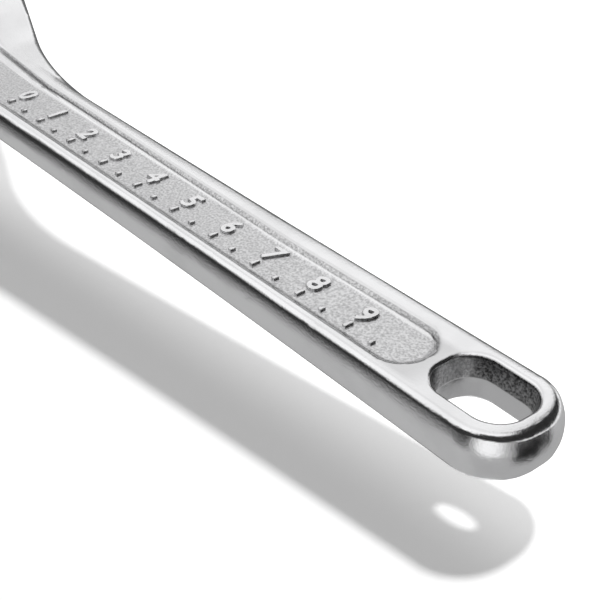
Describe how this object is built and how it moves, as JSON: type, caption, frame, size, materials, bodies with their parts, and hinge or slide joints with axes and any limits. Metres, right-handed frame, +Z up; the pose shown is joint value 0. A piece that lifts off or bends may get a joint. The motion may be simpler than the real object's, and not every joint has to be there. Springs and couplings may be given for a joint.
{
  "type": "adjustable wrench",
  "caption": "Forged adjustable wrench: I-section handle with hang hole, fixed jaw, and a sliding jaw on a rack driven by a thumb worm.",
  "frame": {"origin": "on the underside of the head, below the crossing of the jaw track and the handle's axis", "axes": "+X along the handle to its end, +Y to the sliding jaw's side, +Z up, square to the flat of the tool"},
  "size_m": [0.2569, 0.0602, 0.014],
  "materials": {
    "plated_forging": "satin chrome plate over a forged, tumbled surface",
    "plated_jaw": "satin chrome plate with ground working faces",
    "worm_steel": "turned and knurled steel",
    "pin_steel": "ground steel",
    "spring_wire": "drawn spring wire"
  },
  "bodies": {
    "body": {"wrench_body": "plated_forging", "worm_pin": "pin_steel"},
    "jaw": {"sliding_jaw": "plated_jaw"},
    "worm": {"adjusting_worm": "worm_steel", "worm_spring": "spring_wire"}
  },
  "joints": [
    {"name": "jaw_slide", "type": "slide", "parent": "body", "child": "jaw", "axis": [0.3827, 0.9239, 0], "range_m": [-0.0118, 0.017]},
    {"name": "worm_turn", "type": "hinge", "parent": "body", "child": "worm", "pos_m": [0.01172, 0.00164, 0.007], "axis": [0.3827, 0.9239, 0], "range_deg": [-1361, 945]}
  ],
  "couplings": [
    {"joint": "worm_turn", "follows": "jaw_slide", "rad_per_m": -1396.3}
  ]
}
